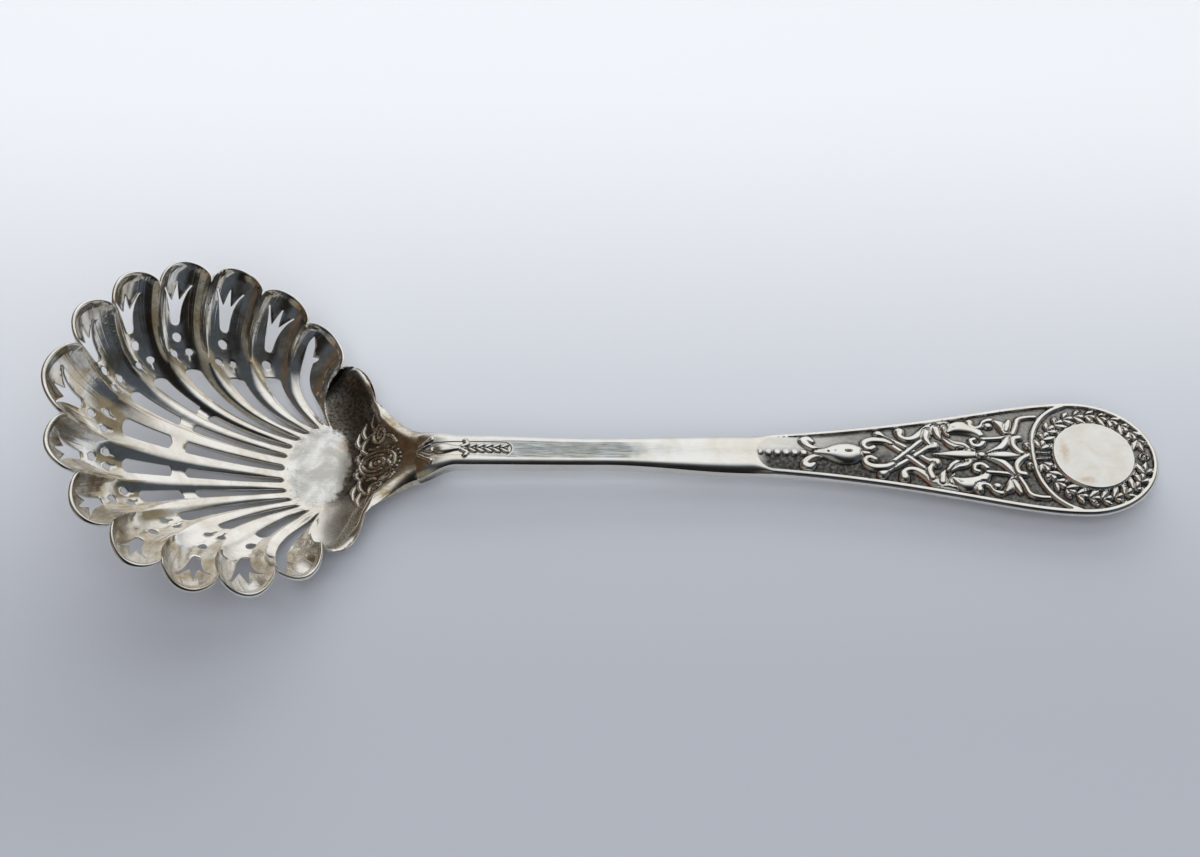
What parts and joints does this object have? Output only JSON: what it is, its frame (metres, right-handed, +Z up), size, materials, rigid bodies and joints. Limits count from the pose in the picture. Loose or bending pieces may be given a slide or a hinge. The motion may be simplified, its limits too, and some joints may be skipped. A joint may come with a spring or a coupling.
{
  "type": "sugar sifter spoon",
  "caption": "Silver sugar sifter spoon with a pierced, fluted scallop-shell bowl soldered to a slim stem and a flared handle in struck relief ending in a plain round medallion.",
  "frame": {"origin": "on the table, under the middle of the spoon's length and width, with the spoon lying as it rests", "axes": "+X from the bowl to the handle, +Y across the spoon, +Z up, out of the bowl"},
  "size_m": [0.161, 0.0608, 0.0246],
  "materials": {
    "polished_silver": "hand-polished silver with fine wipe marks, grey tarnish left in the chased lines",
    "oxidised_silver": "struck silver, bright on the relief and dark with old oxide on the sunk ground",
    "silver_solder": "hard silver solder, slightly yellow and dull"
  },
  "bodies": {
    "root": {"bowl": "polished_silver", "stem": "oxidised_silver", "solder_seam": "silver_solder"}
  },
  "joints": []
}
